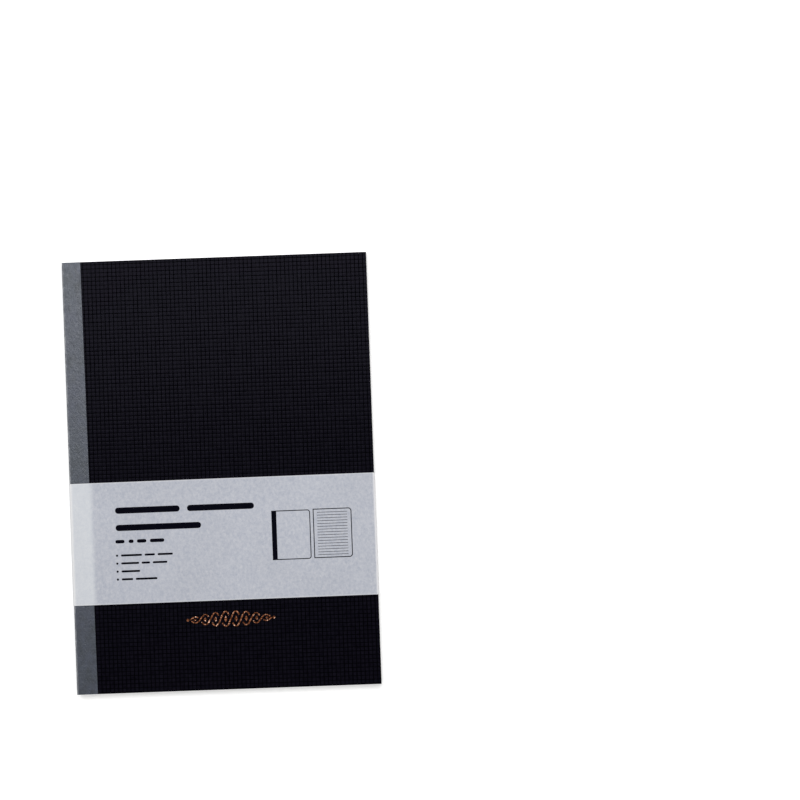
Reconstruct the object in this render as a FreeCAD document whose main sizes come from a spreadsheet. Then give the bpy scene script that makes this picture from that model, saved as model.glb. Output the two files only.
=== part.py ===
"""Pad-bound A5 notebook in its paper belly band, modelled closed and lying on its back.

Row frame, millimetres: +X runs from the spine to the fore edge, +Y from the foot to the head and
+Z up, out of the front cover.  The origin is under the middle of the notebook, on the surface it
lies on.  The stack along Z, from that surface up: band, slack, tape flap, back cover, pages, front
cover, tape flap, slack, band.
"""

import FreeCAD, Part
import os

import Sketcher
from FreeCAD import Placement, Rotation, Vector

# Driving dimensions in millimetres: alias, value, meaning.
SIZES = [
    ("book_width", 148, "spine to fore edge, over the tape"),
    ("book_length", 210, "foot to head"),
    ("sheet_count", 100, "sheets in the pad"),
    ("sheet_thick", 0.10, "one 80 g/m2 sheet"),
    ("cover_thick", 0.24, "one 180 g/m2 card cover"),
    ("glue_thick", 0.60, "padding adhesive on the spine"),
    ("spine_round", 0.55, "rounding along the glued spine's two long edges"),
    ("tape_thick", 0.18, "binding tape"),
    ("tape_width", 30.0, "flat width of the tape before it is folded"),
    ("bend_ease", 0.05, "how much tighter the tape turns than the glue under it"),
    ("flap_head", 9.1, "width of the tape on the front cover, at the head"),
    ("flap_foot", 10.15, "the same at the foot: the tape was laid a little askew"),
    ("flap_waste", 1.0, "width left on each flap before it is cut to its edge"),
    ("band_thick", 0.15, "belly band paper"),
    ("band_width", 59.2, "belly band along the spine"),
    ("band_foot", 43.4, "foot of the notebook to the band"),
    ("band_play", 0.15, "slack between the band and what it goes round"),
    ("band_fold", 0.30, "inside radius of the band's folds at the fore edge"),
    ("lap_length", 12.0, "overlap where the band's ends are glued"),
    ("lap_inset", 12.0, "widest back flap of the tape to the inner end of the band"),
    ("joggle_run", 1.2, "length over which the inner end steps onto the outer one"),
]

# Places worked out from the sizes: alias, formula, meaning.
PLACES = [
    ("spine_x", "-book_width / 2", "outside of the tape on the spine"),
    ("glue_x", "spine_x + tape_thick", "outside of the glue film"),
    ("block_x", "glue_x + glue_thick", "spine side of the pages and covers"),
    ("fore_x", "book_width / 2", "fore edge"),
    ("glue_round", "min(spine_round; 0.9 * glue_thick)", "glue film's rounding, within its wall"),
    ("tape_bend", "glue_round - bend_ease", "inside radius where the tape turns onto a cover"),
    ("foot_y", "-book_length / 2", "foot edge"),
    ("head_y", "book_length / 2", "head edge"),
    ("flap_back_z", "band_thick + band_play", "underside of the tape's back flap"),
    ("back_z", "flap_back_z + tape_thick", "underside of the back cover"),
    ("block_z", "back_z + cover_thick", "underside of the pages"),
    ("block_thick", "sheet_count * sheet_thick", "thickness of the pages"),
    ("front_z", "block_z + block_thick", "underside of the front cover"),
    ("cover_top_z", "front_z + cover_thick", "outside of the front cover"),
    ("flap_top_z", "cover_top_z + tape_thick", "outside of the tape's front flap"),
    ("flaps_sum", "tape_width - (flap_top_z - flap_back_z)", "both flaps of the tape together"),
    ("flap_widest", "max(flap_head; flap_foot)", "front flap at its widest"),
    ("back_widest", "flaps_sum - min(flap_head; flap_foot)", "back flap at its widest"),
    ("front_cut_x", "spine_x + flap_widest + flap_waste", "front flap before it is cut"),
    ("back_cut_x", "spine_x + back_widest + flap_waste", "back flap before it is cut"),
    ("band_left_x", "spine_x - band_play - band_thick", "band outside the spine"),
    ("band_right_x", "fore_x + band_play + band_thick", "band outside the fore edge"),
    ("band_top_z", "flap_top_z + band_play + band_thick", "band over the tape"),
    ("band_fore_z", "cover_top_z + band_play + band_thick", "band at the fore edge"),
    ("spine_fold", "tape_bend + tape_thick + band_play", "inside radius of the band's folds there"),
    ("slope_x", "spine_x + flap_widest + band_play", "where the band starts down to the fore edge"),
    ("band_foot_y", "foot_y + band_foot", "edge of the band nearer the foot"),
    ("lap_x", "spine_x + back_widest + lap_inset", "inner end of the band, in the lap"),
    ("seam_x", "lap_x + lap_length", "outer end of the band, seen on the back"),
    ("joggle_x", "seam_x + joggle_run", "foot of the step beside the seam"),
]

# ---------------------------------------------------------------- document and sheet

doc = FreeCAD.newDocument("PaddedNotebook")
sheet = doc.addObject("Spreadsheet::Sheet", "dims")


def fill_sheet():
    """Write the sizes as plain numbers and the places as formulas, each under its alias."""
    rows = [(alias, str(size), note) for alias, size, note in SIZES]
    rows += [(alias, "=" + formula, note) for alias, formula, note in PLACES]
    for row, (alias, content, note) in enumerate(rows, start=1):
        sheet.set(f"A{row}", note)
        sheet.set(f"B{row}", content)
        sheet.setAlias(f"B{row}", alias)
        doc.recompute()


# ---------------------------------------------------------------- drawing helpers


def new_body(name):
    """An empty PartDesign body whose label names its file."""
    body = doc.addObject("PartDesign::Body", name)
    body.Label = name
    return body


def new_sketch(body, name, role, offset):
    """A sketch on one of the body's origin planes, moved along its normal by an expression."""
    sketch = body.newObject("Sketcher::SketchObject", name)
    plane = next(item for item in body.Origin.OriginFeatures if item.Role == role)
    sketch.AttachmentSupport = [(plane, "")]
    sketch.MapMode = "FlatFace"
    sketch.AttachmentOffset = Placement(Vector(0, 0, 0), Rotation())
    sketch.setExpression("AttachmentOffset.Base.z", offset)
    return sketch


def draw(sketch, corners):
    """A closed outline through corners, each a pair of expressions that hold it in place."""
    first = sketch.GeometryCount
    points = [Vector(sketch.evalExpression(u), sketch.evalExpression(v), 0) for u, v in corners]
    for start, end in zip(points, points[1:] + points[:1]):
        sketch.addGeometry(Part.LineSegment(start, end))
    for index, (u, v) in enumerate(corners):
        line = first + index
        before = first + (index - 1) % len(corners)
        sketch.addConstraint(Sketcher.Constraint("Coincident", before, 2, line, 1))
        for kind, place, now in (("DistanceX", u, points[index].x), ("DistanceY", v, points[index].y)):
            datum = sketch.addConstraint(Sketcher.Constraint(kind, -1, 1, line, 1, now))
            sketch.setExpression(f"Constraints[{datum}]", place)


def rectangle(sketch, left, right, bottom, top):
    """A rectangle between four expressions."""
    draw(sketch, [(left, bottom), (right, bottom), (right, top), (left, top)])


def pad(body, sketch, name, length, reverse=False):
    """Extrude a sketch by an expression, along its normal or against it."""
    feature = body.newObject("PartDesign::Pad", name)
    feature.Profile = sketch
    feature.Reversed = reverse
    feature.setExpression("Length", length)
    doc.recompute()
    return feature


def pocket(body, base, sketch, name, depth, reverse=False):
    """Cut a sketch into base by an expression, against its normal or along it."""
    feature = body.newObject("PartDesign::Pocket", name)
    feature.Profile = sketch
    feature.Reversed = reverse
    feature.setExpression("Length", depth)
    doc.recompute()
    if feature.Shape.Volume >= base.Shape.Volume:
        raise RuntimeError(f"{name} cuts nothing")
    return feature


def round_long_edges(body, base, name, corners, radius):
    """Fillet the edges of base that run along Y through the given (x, z) expressions."""
    wanted = [(base.evalExpression(x), base.evalExpression(z)) for x, z in corners]
    names = []
    for number, edge in enumerate(base.Shape.Edges, start=1):
        start, end = edge.firstVertex().Point, edge.lastVertex().Point
        along_y = abs(start.x - end.x) < 1e-6 and abs(start.z - end.z) < 1e-6
        if along_y and any(abs(start.x - x) < 1e-6 and abs(start.z - z) < 1e-6 for x, z in wanted):
            names.append(f"Edge{number}")
    if len(names) != len(corners):
        raise RuntimeError(f"{name}: {len(names)} edges found for {len(corners)} corners")
    feature = body.newObject("PartDesign::Fillet", name)
    feature.Base = (base, names)
    feature.setExpression("Radius", radius)
    doc.recompute()
    return feature


# ---------------------------------------------------------------- pieces


def flat_sheet(name, bottom, thickness):
    """Pages or a cover: one trimmed rectangle, glued along its spine side."""
    body = new_body(name)
    sketch = new_sketch(body, name + "_outline", "XY_Plane", bottom)
    rectangle(sketch, "dims.block_x", "dims.fore_x", "dims.foot_y", "dims.head_y")
    pad(body, sketch, name + "_thickness", thickness)
    return body


def spine_glue():
    """Film of padding adhesive over the spine side of the pages and both covers."""
    body = new_body("spine_glue")
    sketch = new_sketch(body, "glue_section", "XZ_Plane", "-dims.foot_y")
    rectangle(sketch, "dims.glue_x", "dims.block_x", "dims.back_z", "dims.cover_top_z")
    film = pad(body, sketch, "glue_film", "dims.book_length", reverse=True)
    outer = [("dims.glue_x", "dims.back_z"), ("dims.glue_x", "dims.cover_top_z")]
    round_long_edges(body, film, "glue_rounding", outer, "dims.glue_round")
    return body


def spine_tape():
    """Tape folded round the spine onto both covers, a U section along the whole spine.

    Its width is constant, so where it was laid askew the back flap gains what the front flap
    loses.  Both flaps are made too wide and then cut along their slanting edges.
    """
    body = new_body("spine_tape")
    sketch = new_sketch(body, "tape_section", "XZ_Plane", "-dims.foot_y")
    outer = [("dims.spine_x", "dims.flap_back_z"), ("dims.spine_x", "dims.flap_top_z")]
    inner = [("dims.glue_x", "dims.back_z"), ("dims.glue_x", "dims.cover_top_z")]
    draw(sketch, [
        outer[0], ("dims.back_cut_x", "dims.flap_back_z"), ("dims.back_cut_x", "dims.back_z"),
        inner[0], inner[1], ("dims.front_cut_x", "dims.cover_top_z"),
        ("dims.front_cut_x", "dims.flap_top_z"), outer[1],
    ])
    strip = pad(body, sketch, "tape_strip", "dims.book_length", reverse=True)
    inside = round_long_edges(body, strip, "tape_inner_bends", inner, "dims.tape_bend")
    outside = "dims.tape_bend + dims.tape_thick"
    bends = round_long_edges(body, inside, "tape_outer_bends", outer, outside)
    front_cut = new_sketch(body, "front_flap_waste", "XY_Plane", "dims.flap_top_z")
    draw(front_cut, [
        ("dims.spine_x + dims.flap_foot", "dims.foot_y"), ("dims.front_cut_x", "dims.foot_y"),
        ("dims.front_cut_x", "dims.head_y"), ("dims.spine_x + dims.flap_head", "dims.head_y"),
    ])
    front = pocket(body, bends, front_cut, "front_flap_cut", "dims.tape_thick")
    back_cut = new_sketch(body, "back_flap_waste", "XY_Plane", "dims.flap_back_z")
    both = "dims.spine_x + dims.flaps_sum"
    draw(back_cut, [
        (f"{both} - dims.flap_foot", "dims.foot_y"), ("dims.back_cut_x", "dims.foot_y"),
        ("dims.back_cut_x", "dims.head_y"), (f"{both} - dims.flap_head", "dims.head_y"),
    ])
    pocket(body, front, back_cut, "back_flap_cut", "dims.tape_thick", reverse=True)
    return body


def belly_band():
    """One paper strip folded round the notebook, its ends lapped and glued on the back.

    The strip lies flat under the back.  In the lap the inner end steps up by one thickness onto
    the outer end.  On the front the strip is taut, so past the tape it slopes down to the cover
    at the fore edge.
    """
    body = new_body("belly_band")
    sketch = new_sketch(body, "band_section", "XZ_Plane", "-dims.band_foot_y")
    paper = "dims.band_thick"
    left, right = "dims.band_left_x", "dims.band_right_x"
    draw(sketch, [
        (left, "0"), ("dims.seam_x", "0"), ("dims.seam_x", paper), ("dims.joggle_x", "0"),
        (right, "0"), (right, "dims.band_fore_z"), ("dims.slope_x", "dims.band_top_z"),
        (left, "dims.band_top_z"),
    ])
    in_left, in_right = f"{left} + {paper}", f"{right} - {paper}"
    in_top, in_fore = f"dims.band_top_z - {paper}", f"dims.band_fore_z - {paper}"
    draw(sketch, [
        (in_left, paper), ("dims.lap_x", paper), ("dims.lap_x", f"2 * {paper}"),
        ("dims.seam_x", f"2 * {paper}"), ("dims.joggle_x", paper),
        (in_right, paper), (in_right, in_fore), ("dims.slope_x", in_top), (in_left, in_top),
    ])
    strip = pad(body, sketch, "band_strip", "dims.band_width", reverse=True)
    outer = [(left, "0"), (left, "dims.band_top_z"), (right, "0"), (right, "dims.band_fore_z")]
    inner = [(in_left, paper), (in_left, in_top), (in_right, paper), (in_right, in_fore)]
    spine, fore = "dims.spine_fold", "dims.band_fold"
    folds = round_long_edges(body, strip, "inner_spine_folds", inner[:2], spine)
    folds = round_long_edges(body, folds, "inner_fore_folds", inner[2:], fore)
    folds = round_long_edges(body, folds, "outer_spine_folds", outer[:2], f"{spine} + {paper}")
    round_long_edges(body, folds, "outer_fore_folds", outer[2:], f"{fore} + {paper}")
    return body


# ---------------------------------------------------------------- build, check, write

fill_sheet()
pieces = [
    flat_sheet("page_block", "dims.block_z", "dims.block_thick"),
    flat_sheet("back_cover", "dims.back_z", "dims.cover_thick"),
    flat_sheet("front_cover", "dims.front_z", "dims.cover_thick"),
    spine_glue(),
    spine_tape(),
    belly_band(),
]
doc.recompute()

for item in doc.Objects:
    if "Invalid" in item.State or "Error" in item.State:
        raise RuntimeError(f"{item.Label} failed: {item.State}")
for piece in pieces:
    if piece.Shape.isNull() or not piece.Shape.isValid() or len(piece.Shape.Solids) != 1:
        raise RuntimeError(f"{piece.Label} isn't one valid solid")

os.makedirs("parts", exist_ok=True)
for piece in pieces:
    piece.Shape.exportStep(f"parts/{piece.Label}.step")
    box = piece.Shape.BoundBox
    print(
        f"{piece.Label:12s} {piece.Shape.Volume:12.3f} mm3  X {box.XMin:8.3f} {box.XMax:8.3f}"
        f"  Y {box.YMin:8.3f} {box.YMax:8.3f}  Z {box.ZMin:7.3f} {box.ZMax:7.3f}"
    )
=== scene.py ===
"""Looks of a pad-bound notebook in its paper belly band: pages, black grid-embossed card covers,
grey spine tape, translucent band with its print, copper foil ornament, and the studio round it.

Row frame in metres: +X from the spine to the fore edge, +Y from the foot to the head, +Z up.
"""

import math

import bpy
import numpy as np
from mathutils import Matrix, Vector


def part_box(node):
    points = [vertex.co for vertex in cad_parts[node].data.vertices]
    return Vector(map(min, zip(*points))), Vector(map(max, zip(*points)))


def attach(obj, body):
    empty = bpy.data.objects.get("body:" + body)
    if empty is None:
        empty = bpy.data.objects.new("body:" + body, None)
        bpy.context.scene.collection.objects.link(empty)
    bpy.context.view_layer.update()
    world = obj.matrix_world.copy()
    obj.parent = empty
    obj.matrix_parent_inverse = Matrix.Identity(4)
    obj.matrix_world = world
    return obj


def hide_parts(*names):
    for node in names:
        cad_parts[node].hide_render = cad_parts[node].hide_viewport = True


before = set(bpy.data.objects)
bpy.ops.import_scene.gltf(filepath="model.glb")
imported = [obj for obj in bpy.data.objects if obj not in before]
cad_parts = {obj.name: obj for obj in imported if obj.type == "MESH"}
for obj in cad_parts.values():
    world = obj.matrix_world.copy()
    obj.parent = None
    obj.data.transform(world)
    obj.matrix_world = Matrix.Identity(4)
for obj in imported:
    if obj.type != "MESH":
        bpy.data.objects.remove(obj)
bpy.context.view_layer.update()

# ------------------------------------------------------------------------------------- pages
# The pad: sheets of uncoated writing paper, jogged square, glued along the spine and trimmed on
# the other three sides.  What shows is their cut edges, each sheet a hair in front of or behind
# its neighbour, with a fine dark line wherever two sheets meet.

MM = 0.001
STRAY_SEED = 148210
rng = np.random.default_rng(STRAY_SEED)

SHEET_THICK = 0.10 * MM
SHEET_GROOVE = 0.04 * MM     # how far the line between two sheets lies back
SHEET_STRAY = 0.03 * MM      # how far single sheets stand back from the cut
BUNCH_STRAY = 0.05 * MM      # the same for bunches that shifted together under the knife
STRAY_SPREAD = 0.5           # spread of the single sheets' strays, as a share of the largest
WAVE_TURN = 0.21             # a sheet's stray swings along it by so many radians a point
WAVE_LEAN = 0.4              # and is so many radians further on at the last sheet
LINE_SHARE = 0.14            # the part of a sheet's thickness that slopes into the line
PAGE_STEP = 6 * MM           # spacing of points along the cut sides

SHEET_COLOUR = (0.86, 0.85, 0.82)
LINE_COLOUR, CUT_COLOUR = (0.66, 0.65, 0.62), (0.93, 0.92, 0.89)
SHEET_LINES, BUNCH_LINES = (12, 12, 9000), (8, 8, 1100)    # noise drawn out along the sheets
LINES_LOW, LINES_HIGH = 0.12, 0.38    # the product of the two seldom leaves these
NOISE_LOW, NOISE_HIGH = 0.3, 0.7      # one noise seldom leaves these


def build(name, points, faces, material, body, slot=None, fold_highlight=35.0):
    """A mesh object from an array of points and a list of faces, smooth but for edges that turn
    by more than crease degrees, with the material, riding on a body.  slot is not used."""
    mesh = bpy.data.meshes.new(name)
    mesh.from_pydata(points.reshape(-1, 3).tolist(), [], faces)
    mesh.update()
    mesh.shade_smooth()
    mesh.set_sharp_from_angle(angle=math.radians(fold_highlight))
    mesh.materials.append(material)
    piece = bpy.data.objects.new(name, mesh)
    bpy.context.scene.collection.objects.link(piece)
    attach(piece, body)
    return piece


def new_material(name, colour, roughness, specular=0.5, metallic=0.0):
    """A Principled material with plain values; returns it, its node tree and its shader."""
    material = bpy.data.materials.new(name)
    material.use_nodes = True
    tree = material.node_tree
    shader = tree.nodes["Principled BSDF"]
    shader.inputs["Base Color"].default_value = (*colour, 1.0)
    shader.inputs["Roughness"].default_value = roughness
    shader.inputs["Specular IOR Level"].default_value = specular
    shader.inputs["Metallic"].default_value = metallic
    return material, tree, shader


def put(tree, socket, value):
    """Fill a socket with another node's output, or with a number, a vector or a plain colour."""
    if isinstance(value, bpy.types.NodeSocket):
        tree.links.new(value, socket)
    elif socket.type == "RGBA":
        socket.default_value = (*value, 1.0)
    else:
        socket.default_value = value


def node(tree, kind, **values):
    """A new node.  Each value fills the socket of its name (spaces as _) or, where there is no
    such socket, sets the node's property of that name."""
    made = tree.nodes.new(kind)
    for name, value in values.items():
        socket = name.replace("_", " ")
        if socket in made.inputs:
            put(tree, made.inputs[socket], value)
        else:
            setattr(made, name, value)
    return made


def noise(tree, scale, detail=3.0, roughness=0.5):
    """Noise on Object coordinates: scale is its waves a metre, one number or one an axis."""
    place = node(tree, "ShaderNodeTexCoord").outputs["Object"]
    if not np.isscalar(scale):
        place = node(tree, "ShaderNodeMapping", Vector=place, Scale=scale).outputs["Vector"]
        scale = 1.0
    texture = node(tree, "ShaderNodeTexNoise", Vector=place, Scale=scale, Detail=detail,
                   Roughness=roughness)
    return texture.outputs["Fac"]


def ramp(tree, factor, low, high, start=NOISE_LOW, end=NOISE_HIGH, middle=None):
    """Blend from colour low to colour high as factor goes from start to end.  middle, a place
    and a colour, is passed on the way."""
    made = node(tree, "ShaderNodeValToRGB", Fac=factor)
    stops = made.color_ramp.elements
    for stop, place, colour in zip(stops, (start, end), (low, high)):
        stop.position = place
        stop.color = (*colour, 1.0)
    if middle:
        stops.new(middle[0]).color = (*middle[1], 1.0)
    return made.outputs["Color"]


def math_node(tree, operation, *values):
    """The result of a Math node; each value is a number or another node's output."""
    made = node(tree, "ShaderNodeMath", operation=operation)
    for socket, value in zip(made.inputs, values):
        put(tree, socket, value)
    return made.outputs[0]


def bump(tree, shader, height, distance):
    """Fine relief of a finish, distance metres deep where height is 1."""
    made = node(tree, "ShaderNodeBump", Height=height, Distance=distance, Strength=1.0)
    tree.links.new(made.outputs["Normal"], shader.inputs["Normal"])


page_low, page_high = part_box("page_block")
page_size = page_high - page_low
sheet_count = round(page_size.z / SHEET_THICK)

writing_paper, tree, shader = new_material("writing_paper", SHEET_COLOUR, roughness=0.85,
                                           specular=0.2)
sheet_lines = noise(tree, SHEET_LINES, detail=2.0)
both_lines = math_node(tree, "MULTIPLY", sheet_lines, noise(tree, BUNCH_LINES))
edge_colour = ramp(tree, both_lines, LINE_COLOUR, CUT_COLOUR, LINES_LOW, LINES_HIGH)
tree.links.new(edge_colour, shader.inputs["Base Color"])
bump(tree, shader, sheet_lines, distance=0.02 * MM)


def pages_mesh():
    """The pad: one ring of points round it for each height, three heights a sheet.  A ring is the
    trimmed rectangle moved inwards, on the three cut sides, by the sheet's own stray, which
    swings as a sine along it, plus its bunch's, which is a random walk from sheet to sheet, and
    by the groove's depth where two sheets meet."""
    edge = np.array([LINE_SHARE, 1 - LINE_SHARE])
    level = np.arange(sheet_count)[:, None] + np.append(0.0, edge)
    level = np.append(level.ravel(), sheet_count)
    sheet = np.minimum(level.astype(int), sheet_count - 1)
    groove = np.where(np.isclose(level, np.round(level)), SHEET_GROOVE, 0.0)
    groove[[0, -1]] = 0.0
    across = round(page_size.x / PAGE_STEP)
    along = round(page_size.y / PAGE_STEP)
    u, v = np.arange(across) / across, np.arange(along) / along
    x = np.concatenate([u, np.ones(along), 1 - u, np.zeros(along)])
    y = np.concatenate([np.zeros(across), v, np.ones(across), 1 - v])
    stray = {}
    for name in ("fore", "ends"):
        single = np.abs(rng.normal(0.0, STRAY_SPREAD, sheet_count)).clip(0, 1) * SHEET_STRAY
        drift = np.cumsum(rng.normal(0.0, 1.0, sheet_count))
        drift = (drift - drift.min()) / np.ptp(drift) * BUNCH_STRAY
        turn = WAVE_TURN * np.arange(len(x)) + WAVE_LEAN * sheet[:, None] / sheet_count
        wave = 0.5 + 0.5 * np.sin(turn)
        stray[name] = single[sheet, None] * wave + drift[sheet, None] + groove[:, None]
    px = page_low.x + page_size.x * x[None, :] - stray["fore"] * (x == 1.0)
    inwards = np.where(y == 0.0, 1.0, 0.0) - np.where(y == 1.0, 1.0, 0.0)
    py = page_low.y + page_size.y * y[None, :] + stray["ends"] * inwards
    pz = np.broadcast_to(page_low.z + level[:, None] * SHEET_THICK, px.shape)
    points = np.stack([px, py, pz], axis=-1)
    rows, columns = px.shape
    number = np.arange(rows * columns).reshape(rows, columns)
    after = np.roll(number, -1, axis=1)
    walls = np.stack([number[:-1], after[:-1], after[1:], number[1:]], axis=-1).reshape(-1, 4)
    return points, [*walls.tolist(), number[0, ::-1].tolist(), number[-1].tolist()]


pages = build("pages", *pages_mesh(), writing_paper, "notebook", "pages", fold_highlight=60.0)
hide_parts("page_block")

# ------------------------------------------------------------------------------------ covers
# Two sheets of black card, embossed all over with a fine square grid: narrow grooves pressed
# into it leave flat squares between them.  Glued to the pad along the spine and trimmed with it.

GRID_PITCH = 2.0 * MM
GROOVE_HALF = 0.34 * MM       # from a groove's middle to the flat of a square
GROOVE_DEEP = 0.03 * MM
GRID_FROM_SPINE = 0.25 * MM   # first groove, from the outside of the spine
GRID_FROM_FOOT = 0.45 * MM

GROOVE_CORE = 0.25            # the middle of a groove, painted near black as shade, as a share of its half width
GROOVE_REACH = {"X": 1.25, "Y": 1.05}               # where the painted shade ends, the same way
STREAKS = {"X": (700, 45, 1), "Y": (45, 700, 1)}    # noise drawn out along the grooves
FAINT_FROM, FAINT_TO = 0.45, 0.75                   # between these it fades a groove
FAINT_MOST = 0.3                                    # by up to this share

CARD_COLOUR, CARD_TINT = (0.004, 0.0035, 0.007), (0.82, 0.81, 1.0)
# painted shade in the grooves
GROOVE_SHADE = (0.0001, 0.0001, 0.0004)
CARD_DARK, CARD_LIGHT = (0.0013, 0.0010, 0.0028), (0.0062, 0.0054, 0.0101)
CARD_ROUGH, GROOVE_ROUGH = 0.222, 0.86    # roughness of the squares and of the grooves
GROOVE_ROUGH_TO = 0.25        # the mask's value at which the squares' roughness is reached
CARD_FIBRES, CARD_GRAIN = 600, 5200

tape_low, tape_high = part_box("spine_tape")
groove_x0 = tape_low.x + GRID_FROM_SPINE
groove_y0 = page_low.y + GRID_FROM_FOOT


def cells(rows, columns):
    """Corner numbers of the cells of a rows x columns grid of points numbered row by row."""
    row, column = np.meshgrid(np.arange(rows - 1), np.arange(columns - 1), indexing="ij")
    first = (row * columns + column).ravel()
    return np.stack([first, first + 1, first + columns + 1, first + columns], axis=1)


def rim(rows, columns):
    """Point numbers round the border of a grid, in the order that its cells turn."""
    number = np.arange(rows * columns).reshape(rows, columns)
    return np.concatenate([number[0, :-1], number[:-1, -1], number[-1, :0:-1], number[:0:-1, 0]])


def groove_marks(low, high, first):
    """Places across one direction of the grid, and how deep each is pressed from 0 to 1: the
    middle of every groove, the edges of the squares beside it, and the card's own two edges."""
    middle = np.arange(math.ceil((low - first) / GRID_PITCH), (high - first) / GRID_PITCH)
    middle = first + middle * GRID_PITCH
    marks = np.concatenate([[low, high], middle, middle - GROOVE_HALF, middle + GROOVE_HALF])
    deep = np.concatenate([[0.0, 0.0], np.ones(len(middle)), np.zeros(2 * len(middle))])
    inside = (marks >= low) & (marks <= high)
    order = np.argsort(marks[inside])
    return marks[inside][order], deep[inside][order]


def card_mesh(low, high, outside):
    """Points and faces of a cover: a grid of points on its outer face, pressed down by the
    deeper of the two grooves that pass each point, over a plain inner face.  outside is +1
    for the front cover, whose outer face looks up, and -1 for the back one."""
    x, deep_x = groove_marks(low.x, high.x, groove_x0)
    y, deep_y = groove_marks(low.y, high.y, groove_y0)
    face, inner = (high.z, low.z) if outside > 0 else (low.z, high.z)
    pressed = np.maximum(deep_y[:, None], deep_x[None, :]) * GROOVE_DEEP
    px, py = np.meshgrid(x, y)
    outer = np.stack([px, py, face - outside * pressed], axis=-1).reshape(-1, 3)
    border = rim(len(y), len(x))
    below = outer[border].copy()
    below[:, 2] = inner
    lower = len(outer) + np.arange(len(border))
    sides = np.stack([border, lower, np.roll(lower, -1), np.roll(border, -1)], axis=1)
    quads = np.concatenate([cells(len(y), len(x)), sides])
    faces = [*quads.tolist(), lower[::-1].tolist()]
    if outside < 0:
        faces = [face[::-1] for face in faces]
    return np.concatenate([outer, below]), faces


def between(tree, value, low, high, start=0.0, end=1.0, curve="LINEAR"):
    """A number that goes from low to high as value goes from start to end."""
    made = node(tree, "ShaderNodeMapRange", interpolation_type=curve, Value=value,
                From_Min=start, From_Max=end, To_Min=low, To_Max=high)
    return made.outputs["Result"]


def mix(tree, factor, first, second, mode="MIX"):
    """Colour first blended with colour second, or multiplied by it.  The factor and the colours
    are plain values or other nodes' outputs."""
    made = node(tree, "ShaderNodeMix", data_type="RGBA", blend_type=mode,
                Factor=factor, A=first, B=second)
    return made.outputs["Result"]


def grid_mask(tree):
    """0 in the middle of a groove to 1 on the flat of a square, from Object coordinates: the
    distance to the nearest groove is the pitch times the distance of the scaled coordinate
    from a whole number.  A noise drawn out along the grooves makes some of them fainter."""
    place = node(tree, "ShaderNodeTexCoord").outputs["Object"]
    scaled = node(tree, "ShaderNodeMapping", Vector=place,
                  Location=(-groove_x0 / GRID_PITCH, -groove_y0 / GRID_PITCH, 0.0),
                  Scale=(1 / GRID_PITCH, 1 / GRID_PITCH, 1.0))
    apart = node(tree, "ShaderNodeSeparateXYZ", Vector=scaled.outputs["Vector"])
    half = GROOVE_HALF / GRID_PITCH
    flats = []
    for axis, reach in GROOVE_REACH.items():
        near = math_node(tree, "PINGPONG", apart.outputs[axis], 0.5)
        streaks = noise(tree, STREAKS[axis], detail=2.0)
        faint = between(tree, streaks, 0.0, FAINT_MOST, FAINT_FROM, FAINT_TO)
        flat = between(tree, near, faint, 1.0, GROOVE_CORE * half, reach * half, "SMOOTHSTEP")
        flats.append(flat)
    return math_node(tree, "MULTIPLY", *flats)


black_card, tree, shader = new_material("black_embossed_card", CARD_COLOUR, CARD_ROUGH,
                                        specular=0.0145)
shader.inputs["Specular Tint"].default_value = (*CARD_TINT, 1.0)
mask = grid_mask(tree)
fibres = noise(tree, CARD_FIBRES, detail=5.0, roughness=0.7)
fibres = ramp(tree, fibres, CARD_DARK, CARD_LIGHT)
# The grooves are painted near black: painted shade in the grooves, between squares that show
# their fibres.
tree.links.new(mix(tree, mask, GROOVE_SHADE, fibres), shader.inputs["Base Color"])
gloss = between(tree, mask, GROOVE_ROUGH, CARD_ROUGH, 0.0, GROOVE_ROUGH_TO)
tree.links.new(gloss, shader.inputs["Roughness"])
bump(tree, shader, noise(tree, CARD_GRAIN, detail=2.0), distance=0.002 * MM)

CARDS = [("front_cover", "front_card", 1), ("back_cover", "back_card", -1)]
for cover, card_name, outside in CARDS:
    points, faces = card_mesh(*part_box(cover), outside)
    card = build(card_name, points, faces, black_card, "notebook", "cover_card", fold_highlight=40.0)
    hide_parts(cover)

# -------------------------------------------------------------------------------- foil ornament
# A small braid hot-stamped in copper foil on the lower part of the front cover: two strands that
# pass over and under each other, a lozenge in each eye, and a dot at each end.  The foil bridges
# the grooves of the grid in one film.

FOIL_THICK = 0.015 * MM
FOIL_CENTRE = (76.0 * MM, 34.3 * MM)    # from the spine and from the foot
EYE = 5.0 * MM                          # from one crossing to the next
EYES = 8
BRAID_HIGH = 3.7 * MM                   # half height of the braid in its middle
BRAID_LEAST = 0.16                      # its least half height, as a share of that
BRAID_TAPER = 1.06                      # the length of its taper, as a share of the braid's
STRAND_THICK, STRAND_THIN = 0.72 * MM, 0.34 * MM
UNDER_GAP = 0.85 * MM                   # a strand stops this far from a crossing it goes under
LOZENGE_HALF = 0.75 * MM
LOZENGE_SHARE = 0.42                    # its half height, as a share of the eye's
LOZENGE_TIP = 0.03                      # half height left at its two tips, as a share of its own
END_DOT, END_GAP = 0.62 * MM, 0.31 * MM    # radius of the end dots, and their gap to the braid
DOT_TIP = 8                             # a dot's two tips start this many degrees round it
FILM_LIFT = 0.1                         # share of a film's thickness that it lies off the surface
STRAND_POINTS, DOT_POINTS = 40, 12

FOIL_COLOUR = (0.45, 0.22, 0.12)
# Painted light on the foil: dark reflections and highlights either side of its copper middle
# tone.
FOIL_SHADE, FOIL_HIGHLIGHT = (0.045, 0.015, 0.006), (0.80, 0.56, 0.43)
FOIL_MIDDLE = (0.17, 0.065, 0.030)
FOIL_FROM, FOIL_AT, FOIL_TO = 0.33, 0.55, 0.68    # where on the noise of painted highlight and shade the three lie
FOIL_LIGHT_AND_SHADE_SCALE, FOIL_WAVES = 1100, 1500

foil_x, foil_y = tape_low.x + FOIL_CENTRE[0], page_low.y + FOIL_CENTRE[1]


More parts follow.
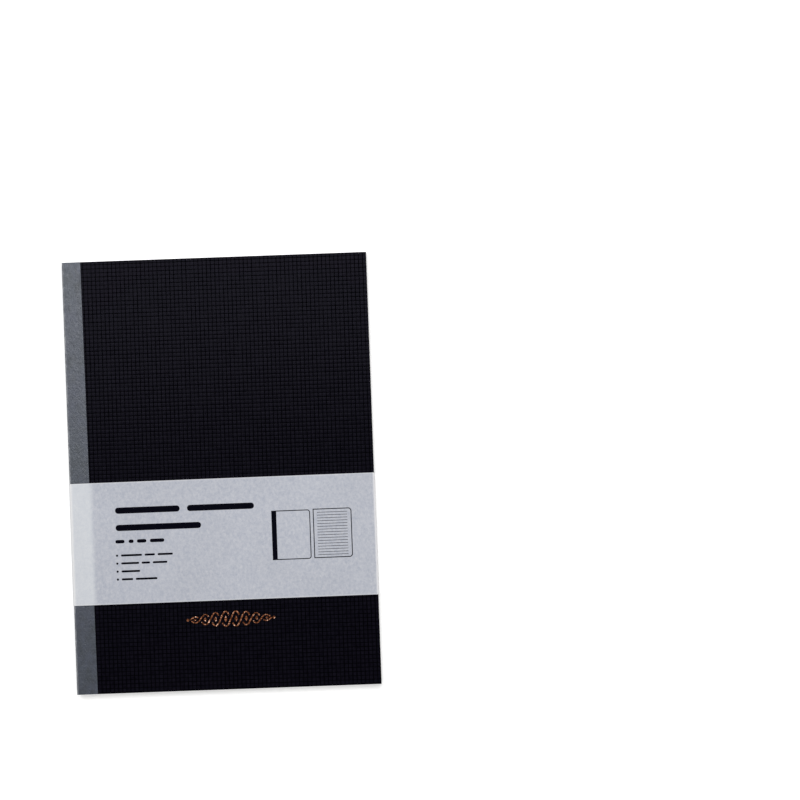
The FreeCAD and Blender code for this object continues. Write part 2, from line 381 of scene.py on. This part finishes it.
def shell(outer, inner):
    """Points and faces of a thin closed sheet from two matching grids of points, its outer and
    its inner face, joined round their rims."""
    rows, columns = outer.shape[:2]
    count = rows * columns
    face = cells(rows, columns)
    border = rim(rows, columns)
    after = np.roll(border, -1)
    sides = np.stack([after, border, border + count, after + count], axis=1)
    points = np.concatenate([outer.reshape(-1, 3), inner.reshape(-1, 3)])
    return points, np.concatenate([face, face[:, ::-1] + count, sides])


def hoop(outer, inner):
    """The same for a strip whose last station is its first: a four-sided section carried round,
    its corners joined to the next section's."""
    section = np.concatenate([outer[:-1], inner[:-1, ::-1]], axis=1)
    number = np.arange(section.shape[0] * 4).reshape(-1, 4)
    after = np.roll(number, -1, axis=0)
    beside, beyond = np.roll(number, -1, axis=1), np.roll(after, -1, axis=1)
    face = np.stack([number, beside, beyond, after], axis=-1)
    return section.reshape(-1, 3), face.reshape(-1, 4)


def film(name, ribbons, height, thickness, material, body):
    """Flat shapes in one mesh.  A ribbon is a row of stations, each with its (x, y) on the left
    edge and on the right edge; it becomes a closed film that lies on the surface height(x)."""
    points, faces, count = [], [], 0
    for ribbon in ribbons:
        surface = height(ribbon[..., :1])
        upper = np.concatenate([ribbon, surface + thickness], axis=-1)
        lower = np.concatenate([ribbon, surface + FILM_LIFT * thickness], axis=-1)
        closed = np.allclose(ribbon[0], ribbon[-1])
        own_points, own_faces = (hoop if closed else shell)(upper, lower)
        points.append(own_points)
        faces.append(own_faces + count)
        count += len(own_points)
    points, faces = np.concatenate(points), np.concatenate(faces)
    return build(name, points, faces.tolist(), material, body)


def pairs(first, second):
    """Points of two coordinates, from two rows of numbers; either may be a single number."""
    return np.column_stack(np.broadcast_arrays(first, second))


def upright(x, y, half):
    """A ribbon of upright stations: at each x an edge half above y and an edge half below."""
    return np.stack([pairs(x, y + half), pairs(x, y - half)], axis=1)


def dot(x, y, radius):
    """A round ribbon: its two edges follow the two halves of a circle."""
    turn = np.radians(np.linspace(180 - DOT_TIP, DOT_TIP, DOT_POINTS))
    return upright(x + radius * np.cos(turn), y, radius * np.sin(turn))


def lozenge(x, y, half_x, half_y):
    """A lozenge ribbon: its height grows in a straight line to the middle and falls again."""
    along = np.linspace(-1.0, 1.0, 5)
    return upright(x + half_x * along, y, half_y * (1 + LOZENGE_TIP - np.abs(along)))


def braid_height(run):
    """Half height of the braid at a distance from its middle: its least height, and the rest of
    it times the cosine of a turn that comes to 90 degrees at the ends of the taper."""
    turn = math.pi * run / (BRAID_TAPER * EYE * EYES)
    return BRAID_HIGH * (BRAID_LEAST + (1 - BRAID_LEAST) * np.cos(turn))


def strand(start, end, side):
    """One visible stretch of a strand: a sine as high as the braid, drawn with a nib held level,
    so that it is broad where it climbs or falls and fine where it turns."""
    run = np.linspace(start, end, STRAND_POINTS)
    phase = math.pi * run / EYE
    rise = side * braid_height(run) * np.sin(phase)
    middle = pairs(run, rise)
    forward = np.gradient(middle, axis=0)
    forward /= np.linalg.norm(forward, axis=1)[:, None]
    leftwards = pairs(-forward[:, 1], forward[:, 0])
    half = 0.5 * (STRAND_THIN + (STRAND_THICK - STRAND_THIN) * np.abs(forward[:, 1:]))
    edges = np.stack([middle + half * leftwards, middle - half * leftwards], axis=1)
    return edges + (foil_x, foil_y)


def cover_top(x):
    """Height of the front cover's squares, the same at every x."""
    return np.full(x.shape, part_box("front_cover")[1].z)


foil, tree, shader = new_material("copper_foil", FOIL_COLOUR, roughness=0.35, metallic=1.0)
# The foil's tone is painted: dark reflections and highlights from a noise, and painted shade
# along the grid's grooves.
foil_light_and_shade = noise(tree, FOIL_LIGHT_AND_SHADE_SCALE, roughness=0.7)
foil_light_and_shade = math_node(tree, "MULTIPLY", foil_light_and_shade, grid_mask(tree))
foil_tone = ramp(tree, foil_light_and_shade, FOIL_SHADE, FOIL_HIGHLIGHT, FOIL_FROM, FOIL_TO,
                 middle=(FOIL_AT, FOIL_MIDDLE))
tree.links.new(foil_tone, shader.inputs["Base Color"])
bump(tree, shader, noise(tree, FOIL_WAVES, detail=2.0), distance=0.03 * MM)

foil_shapes = []
for side, first in ((1, 0), (-1, 1)):
    for cross in range(first - EYES // 2, EYES // 2 + 1, 2):
        start = max((cross - 1) * EYE + UNDER_GAP, -EYES // 2 * EYE)
        end = min((cross + 1) * EYE - UNDER_GAP, EYES // 2 * EYE)
        foil_shapes.append(strand(start, end, side))
for eye in range(EYES):
    run = (eye + 0.5 - EYES / 2) * EYE
    half_high = LOZENGE_SHARE * braid_height(run)
    foil_shapes.append(lozenge(foil_x + run, foil_y, LOZENGE_HALF, half_high))
for end in (-1, 1):
    dot_x = foil_x + end * (EYES / 2 * EYE + END_DOT + END_GAP)
    foil_shapes.append(dot(dot_x, foil_y, END_DOT))
film("foil_ornament", foil_shapes, cover_top, FOIL_THICK, foil, "notebook")

# ------------------------------------------------------------------------------- spine adhesive
# The dried film of padding adhesive on the spine.  Only its two ends show, as a thin cream line
# between the tape and the sheets at the head and at the foot.

GLUE_COLOUR = (0.72, 0.68, 0.55)
GLUE_DARK, GLUE_LIGHT = (0.62, 0.57, 0.44), (0.78, 0.74, 0.62)
GLUE_CLOUDS = 900

adhesive, tree, shader = new_material("padding_adhesive", GLUE_COLOUR, roughness=0.4)
clouds = ramp(tree, noise(tree, GLUE_CLOUDS), GLUE_DARK, GLUE_LIGHT)
tree.links.new(clouds, shader.inputs["Base Color"])
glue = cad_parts["spine_glue"]
glue.data.materials.clear()
glue.data.materials.append(adhesive)

# ----------------------------------------------------------------------------------- spine tape
# Grey paper tape with a fine leathery grain, folded round the spine and pressed onto both
# covers.  It was laid a little askew, so its flap on the front cover widens towards the foot.

TAPE_THICK = 0.18 * MM
TAPE_WIDTH = 30.0 * MM
FLAP_HEAD, FLAP_FOOT = 9.1 * MM, 10.15 * MM    # front flap at the two ends
TAPE_BEND = 0.68 * MM                          # outside radius at the spine's edges
TAPE_STEP = 3 * MM                             # spacing of points along the spine
BEND_GAP = 0.03                                # share of a flat that its points keep off a bend
FLAP_POINTS, WALL_POINTS, CORNER_POINTS = 8, 6, 9
GRAIN_DEEP = 0.14 * MM
GHOST_GRID = 0.06    # share of that depth by which the cover's grid shows in the pressed flaps

TAPE_COLOUR, TAPE_TINT = (0.064, 0.072, 0.090), (0.90, 0.93, 1.0)
TAPE_DARK, TAPE_LIGHT = (0.023, 0.027, 0.033), (0.050, 0.058, 0.080)
HUE_WARM, HUE_COOL = (0.93, 0.95, 0.89), (1.07, 1.05, 1.11)    # these multiply the colour
# The two bends are painted lighter in this colour: a painted highlight of the rounded spine
# edges.
BEND_HIGHLIGHT_COLOUR = (0.27, 0.28, 0.30)
BEND_HIGHLIGHT_LEAST, BEND_HIGHLIGHT_MOST = 0.2, 0.9    # how much of that painted highlight the bends have
TAPE_ROUGH, TAPE_MATT, TAPE_GLOSSY = 0.32, 0.40, 0.24    # roughness: plain, most and least
TAPE_MOTTLE, TAPE_PATCHES, TAPE_GRAIN = (340, 200, 280), (90, 60, 80), (1500, 750, 1100)
# scale of the noise in the bends' painted highlight and in the tape's roughness
TAPE_HIGHLIGHT_AND_GLOSS_NOISE = 500


def corner(x, z, radius, start, end):
    """Points on a round corner about (x, z), between two angles in degrees."""
    turn = np.radians(np.linspace(start, end, CORNER_POINTS))
    return pairs(x + radius * np.cos(turn), z + radius * np.sin(turn))


def paint(piece, name, values):
    """Give a piece of two matching grids of points an attribute, from one number for each point
    of a grid."""
    layer = piece.data.attributes.new(name, "FLOAT", "POINT")
    layer.data.foreach_set("value", np.tile(values, 2).astype(np.float32))


def attribute(tree, name):
    """What paint gave a piece under this name."""
    return node(tree, "ShaderNodeAttribute", attribute_name=name).outputs["Fac"]


def tape_mesh():
    """The tape as a section carried along the spine: down the front flap, round the spine's two
    edges and out along the back flap.  Each flap's points are a share of the way from the bend
    to an edge whose place changes in a straight line from foot to head.  Also each point's fold
    (1 on the two bends) and pressed (1 on the two flaps)."""
    y = np.linspace(tape_low.y, tape_high.y, round((tape_high.y - tape_low.y) / TAPE_STEP) + 1)
    along = (y - y[0]) / (y[-1] - y[0])
    front_flap = FLAP_FOOT + (FLAP_HEAD - FLAP_FOOT) * along
    back_flap = TAPE_WIDTH - (tape_high.z - tape_low.z) - front_flap
    bend_x = tape_low.x + TAPE_BEND
    bend_top, bend_bottom = tape_high.z - TAPE_BEND, tape_low.z + TAPE_BEND
    share = np.linspace(1.0, BEND_GAP, FLAP_POINTS)
    wall = np.linspace(1 - BEND_GAP, BEND_GAP, WALL_POINTS)
    wall = bend_bottom + (bend_top - bend_bottom) * wall
    front_x = bend_x + share[:, None] * (tape_low.x + front_flap - bend_x)
    back_x = bend_x + share[::-1, None] * (tape_low.x + back_flap - bend_x)
    faces = []
    for inset in (0.0, TAPE_THICK):
        middle = np.concatenate([
            corner(bend_x, bend_top, TAPE_BEND - inset, 90, 180),
            pairs(tape_low.x + inset, wall),
            corner(bend_x, bend_bottom, TAPE_BEND - inset, 180, 270),
        ])
        middle_x = np.repeat(middle[:, :1], len(y), axis=1)
        x = np.concatenate([front_x, middle_x, back_x])
        top = np.full(FLAP_POINTS, tape_high.z - inset)
        bottom = np.full(FLAP_POINTS, tape_low.z + inset)
        z = np.concatenate([top, middle[:, 1], bottom])
        faces.append(np.stack(np.broadcast_arrays(x, y, z[:, None]), axis=-1))
    parts = np.array([FLAP_POINTS, CORNER_POINTS, WALL_POINTS, CORNER_POINTS, FLAP_POINTS])
    parts *= len(y)
    return (*shell(*faces), np.repeat([0, 1, 0, 1, 0], parts), np.repeat([1, 0, 0, 0, 1], parts))


grey_tape, tree, shader = new_material("grey_tape", TAPE_COLOUR, TAPE_ROUGH, specular=0.31)
shader.inputs["Specular Tint"].default_value = (*TAPE_TINT, 1.0)
mottle = noise(tree, TAPE_MOTTLE, detail=7.0, roughness=0.74)
mottle = ramp(tree, mottle, TAPE_DARK, TAPE_LIGHT)
tape_hue = ramp(tree, noise(tree, TAPE_PATCHES, detail=2.0), HUE_WARM, HUE_COOL)
tinted = mix(tree, 1.0, mottle, tape_hue, "MULTIPLY")
# Painted highlight on the bends, made uneven by a noise.
bend_highlight = noise(tree, TAPE_HIGHLIGHT_AND_GLOSS_NOISE)
bend_highlight = between(tree, bend_highlight, BEND_HIGHLIGHT_LEAST, BEND_HIGHLIGHT_MOST, NOISE_LOW, NOISE_HIGH)
bend_highlight = math_node(tree, "MULTIPLY", bend_highlight, attribute(tree, "fold"))
tree.links.new(mix(tree, bend_highlight, tinted, BEND_HIGHLIGHT_COLOUR), shader.inputs["Base Color"])
sheen = noise(tree, TAPE_HIGHLIGHT_AND_GLOSS_NOISE, detail=4.0, roughness=0.7)
sheen = between(tree, sheen, TAPE_MATT, TAPE_GLOSSY, NOISE_LOW, NOISE_HIGH)
tree.links.new(sheen, shader.inputs["Roughness"])
ghost = math_node(tree, "MULTIPLY", grid_mask(tree), attribute(tree, "pressed"))
grain = noise(tree, TAPE_GRAIN, detail=5.0, roughness=0.6)
bump(tree, shader, math_node(tree, "MULTIPLY_ADD", ghost, GHOST_GRID, grain), GRAIN_DEEP)

tape_points, tape_faces, tape_fold, tape_pressed = tape_mesh()
tape = build("folded_tape", tape_points, tape_faces, grey_tape, "notebook", "tape", fold_highlight=40.0)
paint(tape, "fold", tape_fold)
paint(tape, "pressed", tape_pressed)
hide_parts("spine_tape")

# ----------------------------------------------------------------------------------- belly band
# A strip of translucent grey-white paper, folded round the closed notebook and glued where its
# ends lap on the back.  It rests on the tape, dips onto the cover beside it and runs taut to the
# fore edge.  What lies under it shows through, so it is lighter over the tape.

BAND_THICK = 0.15 * MM
FOLD_SPINE = 0.98 * MM       # outside radius of the two folds at the spine
FOLD_FORE = 0.45 * MM        # outside radius of the two folds at the fore edge
FORE_DROP = 0.18 * MM        # the band is lower at the fore edge by the tape's thickness
DIP = 0.10 * MM              # how far the band dips beside the tape
DIP_GAP = 0.3 * MM           # from the tape's edge to where the dip starts
DIP_RUN = 3.2 * MM           # from there to where it is deepest
LAP_END, SEAM = 22.06 * MM, 34.06 * MM    # inner and outer end of the strip, from the spine
JOGGLE = 1.2 * MM            # length of the step up onto the outer end
LAP_CLEAR = 0.3 * MM         # the outer end stops at least this far short of it
LAP_GLUE = 0.01 * MM
GLUE_HALF = 2.5 * MM         # half width of the stripe of glue in the lap
GLUE_FADE = 0.8 * MM         # its edges are this soft
BAND_SKEW = 0.0022           # the band sits very slightly turned: rise along the fore direction
BAND_STEP = 0.75 * MM        # spacing of points round the notebook
BAND_ROWS, JOGGLE_POINTS = 23, 6

TAPE_FADE = (-1.3 * MM, 1.5 * MM)     # the tape shows less and less here, from the dip's start
PAGES_FADE = (0.8 * MM, 0.3 * MM)     # the pages show more and more here, from the fore edge
PAGES_ENDS = (1.2 * MM, 0.5 * MM)     # and less and less here, from the top and the bottom
LAP_FADE = 0.4 * MM                   # softness of the lap's inner end, seen through
LAP_PALE, GLUE_DULL = 0.75, 0.35      # a second layer lightens by so much, less where glued
FOLD_TURN = 0.05                      # a fold turns so far that 1 less the cosine is over this
FOLD_HIGHLIGHT_FADE = 0.8 * MM                # the paper is painted lighter this far from a fold: highlight and the crease's whitening
CUT_FADE, CUT_PALE = 0.7 * MM, 0.45   # and this far from its two cut edges, by this share

BAND_COLOUR = (0.48, 0.49, 0.55)
OVER_CARD, OVER_TAPE = (0.465, 0.482, 0.540), (0.610, 0.630, 0.668)
# The second colour below is painted light: the folds' highlight, also used for the paler cut
# edges.
OVER_PAGES, FOLD_HIGHLIGHT_AND_PALE_CUT = (0.74, 0.74, 0.75), (0.78, 0.78, 0.79)
CLOUD_DARK, CLOUD_LIGHT = (0.79, 0.815, 0.86), (1.21, 1.185, 1.13)    # these and the patches
PATCH_DARK, PATCH_LIGHT = 0.97, 1.03                                  # multiply the colour
CLOUDS_OVER_TAPE = 0.45               # how much is left of both over the tape
BAND_CLOUDS, BAND_PATCHES, BAND_GRAIN = (760, 600, 650), 35, 1500

band_low, band_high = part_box("belly_band")
dip_start = tape_high.x + DIP_GAP
lap_x, seam_x = tape_low.x + LAP_END, tape_low.x + SEAM


def smooth_step(value, start, end):
    """0 before start, 1 after end, and a smooth rise between them."""
    share = np.clip((value - start) / (end - start), 0.0, 1.0)
    return share * share * (3 - 2 * share)


def band_top(x):
    """Height of the band's upper face: level on the tape, a short dip beside it, then a straight
    run down to the fore edge."""
    run = np.clip((x - dip_start) / (band_high.x - dip_start), 0.0, 1.0)
    dip = DIP * smooth_step(x, dip_start, dip_start + DIP_RUN) * (1 - run)
    return band_high.z - dip - FORE_DROP * run


def band_path():
    """Middle line of the strip as (x, z) points, from its inner end in the lap, along the back to
    the fore edge, over the front to the spine and back underneath to its outer end."""
    half = BAND_THICK / 2
    left, right = band_low.x + half, band_high.x - half
    spine, fore = FOLD_SPINE - half, FOLD_FORE - half
    spine_x, fore_x = left + spine, right - fore
    spine_top, fore_top = band_high.z - half - spine, band_high.z - FORE_DROP - half - fore
    raised = half + BAND_THICK + LAP_GLUE
    step_x = np.linspace(seam_x, seam_x + JOGGLE, JOGGLE_POINTS)
    step_z = raised - (raised - half) * smooth_step(step_x, seam_x, seam_x + JOGGLE)
    over_x = np.arange(fore_x - BAND_STEP, spine_x, -BAND_STEP)
    wall_step = BAND_STEP / 2
    return np.concatenate([
        pairs(np.arange(lap_x, seam_x, BAND_STEP), raised),
        pairs(step_x, step_z),
        pairs(np.arange(seam_x + JOGGLE + BAND_STEP, fore_x, BAND_STEP), half),
        corner(fore_x, half + fore, fore, -90, 0),
        pairs(right, np.arange(half + fore + wall_step, fore_top, wall_step)),
        corner(fore_x, fore_top, fore, 0, 90),
        pairs(over_x, band_top(over_x) - half),
        corner(spine_x, spine_top, spine, 90, 180),
        pairs(left, np.arange(spine_top - wall_step, half + spine, -wall_step)),
        corner(spine_x, half + spine, spine, 180, 270),
        pairs(np.arange(spine_x + BAND_STEP, seam_x - LAP_CLEAR, BAND_STEP), half),
    ])


def band_mesh():
    """The strip: its middle line moved out and in by half the paper's thickness, carried along Y.
    Also each point's backing (0 over card, 1 over tape, 2 over pages) and how much it is painted
    lighter (1 on a fold, as painted highlight and the crease's whitening, CUT_PALE on the two cut
    edges)."""
    path = band_path()
    run = np.gradient(path, axis=0)
    run /= np.linalg.norm(run, axis=1)[:, None]
    outwards = pairs(run[:, 1], -run[:, 0])
    inside_y = np.linspace(band_low.y + CUT_FADE, band_high.y - CUT_FADE, BAND_ROWS)
    y = np.concatenate([[band_low.y], inside_y, [band_high.y]])
    faces = []
    for side in (0.5, -0.5):
        x, z = (path + side * BAND_THICK * outwards).T[..., None]
        faces.append(np.stack(np.broadcast_arrays(x, y + BAND_SKEW * x, z), axis=-1))
    x, z = path.T
    middle = (band_low.z + band_high.z) / 2
    on_tape = 1 - smooth_step(x, dip_start + TAPE_FADE[0], dip_start + TAPE_FADE[1])
    wall = smooth_step(x, band_high.x - PAGES_FADE[0], band_high.x - PAGES_FADE[1])
    off_middle = np.abs(z - middle)
    between_ends = 1 - smooth_step(off_middle, middle - PAGES_ENDS[0], middle - PAGES_ENDS[1])
    outer_end = (np.arange(len(x)) > len(x) // 2) & (z < middle)
    doubled = smooth_step(x, lap_x - LAP_FADE, lap_x + LAP_FADE) * outer_end
    off_glue = np.abs(x - (lap_x + seam_x) / 2)
    glued = 1 - smooth_step(off_glue, GLUE_HALF, GLUE_HALF + GLUE_FADE)
    backing = on_tape + 2 * wall * between_ends + doubled * (LAP_PALE - GLUE_DULL * glued)
    turned = 1 - np.abs(np.sum(run[2:] * run[:-2], axis=1))
    length = np.append(0, np.cumsum(np.linalg.norm(np.diff(path, axis=0), axis=1)))
    folds = length[1:-1][turned > FOLD_TURN]
    # The folds are painted lighter: highlight of the rounded fold and the crease's whitening.
    fold_highlight = 1 - smooth_step(np.abs(length[:, None] - folds).min(axis=1), 0, FOLD_HIGHLIGHT_FADE)
    cut = np.where((y == y[0]) | (y == y[-1]), CUT_PALE, 0.0)
    fold_highlight_and_cut = np.maximum(fold_highlight[:, None], cut).ravel()
    return (*shell(*faces), np.repeat(backing, len(y)), fold_highlight_and_cut)


band_paper, tree, shader = new_material("translucent_paper", BAND_COLOUR, roughness=0.55,
                                        specular=0.15)
backing = attribute(tree, "backing")
show_through = ramp(tree, math_node(tree, "MULTIPLY", backing, 0.5), OVER_CARD, OVER_PAGES,
                    0.0, 1.0, middle=(0.5, OVER_TAPE))
clouds = noise(tree, BAND_CLOUDS, detail=6.0, roughness=0.82)
clouds = ramp(tree, clouds, CLOUD_DARK, CLOUD_LIGHT)
patches = noise(tree, BAND_PATCHES, detail=2.0)
patches = between(tree, patches, PATCH_DARK, PATCH_LIGHT, NOISE_LOW, NOISE_HIGH)
formation = mix(tree, 1.0, clouds, patches, "MULTIPLY")
veiled = between(tree, backing, 1.0, CLOUDS_OVER_TAPE)
clouded = mix(tree, veiled, show_through, formation, "MULTIPLY")
# Painted highlight on the folds, and paler cut edges.
highlit_paper = mix(tree, attribute(tree, "fold_highlight_and_cut"), clouded, FOLD_HIGHLIGHT_AND_PALE_CUT)
tree.links.new(highlit_paper, shader.inputs["Base Color"])
bump(tree, shader, noise(tree, BAND_GRAIN), distance=0.01 * MM)

band_points, band_faces, band_backing, band_fold_highlight_and_cut = band_mesh()
band = build("paper_band", band_points, band_faces, band_paper, "band", "band_paper", fold_highlight=50.0)
paint(band, "backing", band_backing)
paint(band, "fold_highlight_and_cut", band_fold_highlight_and_cut)
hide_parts("belly_band")

# ------------------------------------------------------------------------------ print on the band
# Black ink on the band.  Plain bars stand where a label has its words, and beside them is a
# small drawing of a closed notebook and of a ruled page, as such bands carry.  Places are from
# the notebook's spine and foot, in millimetres.

INK_THICK = 0.012 * MM
# A row of bars: foot, height, then the start and end of each word.
TITLE_ROWS = [(87.3, 3.0, (21.7, 53.1), (56.65, 89.2)), (78.9, 3.0, (21.7, 63.2))]
SIZE_ROWS = [(72.9, 1.7, (21.35, 25.8), (27.75, 30.2), (31.8, 36.4), (38.1, 45.1))]
LIST_ROWS = [
    (66.5, 1.0, (23.8, 34.0), (35.3, 40.3), (41.6, 49.0)),
    (62.65, 1.0, (23.8, 32.5), (33.7, 37.8), (39.1, 46.2)),
    (58.75, 1.0, (23.8, 32.85)),
    (54.9, 1.0, (23.8, 29.3), (30.6, 41.1)),
]
LIST_DOT, DOT_RADIUS = 21.9, 0.55    # the dot before each row of the list
BAR_ROUND = 0.48                     # radius of a bar's corners, as a share of its height
BAR_CUT = 0.98                       # share of that radius that a corner takes off the end

# The closed notebook and the page: left, right, bottom and top, and the radius of the corners.
BOOK, BOOK_ROUND = (97.45, 116.3, 61.9, 85.9), 1.4
PAGE, PAGE_ROUND = (117.6, 136.4, 62.1, 86.1), 1.6
BOOK_SPINE, DRAWN_LINE, RULE_LINE = 2.4, 0.44, 0.23    # widths of the lines
RULES = (119.6, 134.25)                                # left and right end of the page's rules
RULE_HEIGHTS = np.linspace(63.7, 84.3, 16)

INK_COLOUR = (0.0015, 0.0016, 0.0045)
INK_DARK, INK_LIGHT = (0.0009, 0.0010, 0.0034), (0.0024, 0.0025, 0.0060)
INK_SPECKLE = 1200

ink, tree, shader = new_material("print_ink", INK_COLOUR, roughness=0.6, specular=0.01)
ink_tone = ramp(tree, noise(tree, INK_SPECKLE), INK_DARK, INK_LIGHT)
tree.links.new(ink_tone, shader.inputs["Base Color"])


def on_band(points):
    """(x, y) in millimetres from the spine and the foot, as metres in the row frame, turned with
    the band."""
    points = np.asarray(points, float) * MM + (tape_low.x, page_low.y)
    return points + BAND_SKEW * points[..., :1] * (0, 1)


def bar(left, right, bottom, top, radius):
    """A bar ribbon with round corners: at both ends its edges follow quarter circles.  With no
    radius it is a plain rectangle."""
    turn = np.radians(np.linspace(0, 90, 5 if radius else 1))
    along = radius * (1 - np.cos(turn))
    cut = radius * (1 - np.sin(turn)) * BAR_CUT
    x = np.concatenate([left + along, right - along[::-1]])
    cut = np.concatenate([cut, cut[::-1]])
    return on_band(upright(x, (top + bottom) / 2, (top - bottom) / 2 - cut))


def drawn_box(left, right, bottom, top, line, left_line, radius):
    """The outline of a rectangle as a ribbon that closes: line wide but for its left side, which
    is left_line wide, and round at its two right corners."""
    outer = [[(left, top)], [(left, bottom)]]
    inner = [[(left + left_line, top - line)], [(left + left_line, bottom + line)]]
    for y, start in ((bottom + radius, -90), (top - radius, 0)):
        outer.append(corner(right - radius, y, radius, start, start + 90))
        inner.append(corner(right - radius, y, radius - line, start, start + 90))
    outline = np.stack([np.concatenate(inner), np.concatenate(outer)], axis=1)
    return on_band(np.concatenate([outline, outline[:1]]))


label = []
for foot, high, *words in TITLE_ROWS + SIZE_ROWS + LIST_ROWS:
    label += [bar(left, right, foot, foot + high, BAR_ROUND * high) for left, right in words]
for foot, high, *words in LIST_ROWS:
    label.append(on_band(dot(LIST_DOT, foot + high / 2, DOT_RADIUS)))
film("label_bars", label, band_top, INK_THICK, ink, "band")

drawing = [drawn_box(*BOOK, DRAWN_LINE, BOOK_SPINE, BOOK_ROUND)]
drawing.append(drawn_box(*PAGE, DRAWN_LINE, DRAWN_LINE, PAGE_ROUND))
for y in RULE_HEIGHTS:
    drawing.append(bar(*RULES, y - RULE_LINE / 2, y + RULE_LINE / 2, 0.0))
film("notebook_drawing", drawing, band_top, INK_THICK, ink, "band")

# ---------------------------------------------------------------------------------------- studio
# A white table under one soft lamp over the head, with even light from all round.  The camera
# looks straight down, turned a little, with its middle beside the notebook.

CAMERA_OVER = (87.93 * MM, 32.45 * MM)    # what the middle of the view shows
CAMERA_WIDTH = 388.4 * MM     # what the view spans at the height of the band
CAMERA_HEIGHT = 1.4
CAMERA_ROLL = 2.08            # degrees
LAMP_AT = (-0.02, 0.20, 0.91)
LAMP_SIZE = (0.6, 0.30)
LAMP_POWER = 5.9
AMBIENT = 0.37                # strength of the light from all round
TABLE_HALF = 6.0
TABLE_GLOW = 0.35             # lift of the table where it is seen near the notebook
WHITE_FROM, WHITE_TO = 0.25, 1.2    # between these distances the table fades to white

TABLE_COLOUR, WHITE = (0.85, 0.85, 0.85), (1.0, 1.0, 1.0)

scene = bpy.context.scene
scene.view_settings.view_transform = "Standard"


def background_rays(tree):
    """1 for a ray that shows the background: from the camera, mirrored or let through."""
    path = node(tree, "ShaderNodeLightPath").outputs
    mirrored = math_node(tree, "MAXIMUM", path["Is Camera Ray"], path["Is Glossy Ray"])
    return math_node(tree, "MAXIMUM", mirrored, path["Is Transmission Ray"])


table_corners = TABLE_HALF * np.array([(-1, -1, 0), (1, -1, 0), (1, 1, 0), (-1, 1, 0)])
table_mesh = bpy.data.meshes.new("white_table")
table_mesh.from_pydata(table_corners.tolist(), [], [(0, 1, 2, 3)])
table_top = bpy.data.objects.new("white_table", table_mesh)
scene.collection.objects.link(table_top)
white_table, tree, shader = new_material("white_table", TABLE_COLOUR, roughness=0.9,
                                         specular=0.0)
shown = background_rays(tree)
tree.links.new(mix(tree, shown, TABLE_COLOUR, WHITE), shader.inputs["Base Color"])
place = node(tree, "ShaderNodeTexCoord").outputs["Object"]
away = node(tree, "ShaderNodeVectorMath", operation="LENGTH", Vector=place).outputs["Value"]
whiten = between(tree, away, TABLE_GLOW, 1.0, WHITE_FROM, WHITE_TO, "SMOOTHSTEP")
tree.links.new(math_node(tree, "MULTIPLY", shown, whiten), shader.inputs["Emission Strength"])
shader.inputs["Emission Color"].default_value = (*WHITE, 1.0)
table_mesh.materials.append(white_table)

world = bpy.data.worlds.new("studio")
scene.world = world
world.use_nodes = True
tree = world.node_tree
background = tree.nodes["Background"]
background.inputs["Color"].default_value = (*WHITE, 1.0)
strength = between(tree, background_rays(tree), AMBIENT, 1.0)
tree.links.new(strength, background.inputs["Strength"])

lamp_data = bpy.data.lights.new("soft_lamp", "AREA")
lamp_data.shape = "RECTANGLE"
lamp_data.size, lamp_data.size_y = LAMP_SIZE
lamp_data.energy = LAMP_POWER
lamp = bpy.data.objects.new("soft_lamp", lamp_data)
lamp.location = LAMP_AT
lamp.rotation_euler = (-lamp.location).to_track_quat("-Z", "Y").to_euler()
lamp.visible_camera = False
scene.collection.objects.link(lamp)

camera_data = bpy.data.cameras.new("camera")
camera_data.lens = camera_data.sensor_width * CAMERA_HEIGHT / CAMERA_WIDTH
camera_data.clip_end = 20.0
camera = bpy.data.objects.new("camera", camera_data)
camera.location = (*CAMERA_OVER, band_high.z + CAMERA_HEIGHT)
camera.rotation_euler = (0.0, 0.0, -math.radians(CAMERA_ROLL))
scene.collection.objects.link(camera)
scene.camera = camera
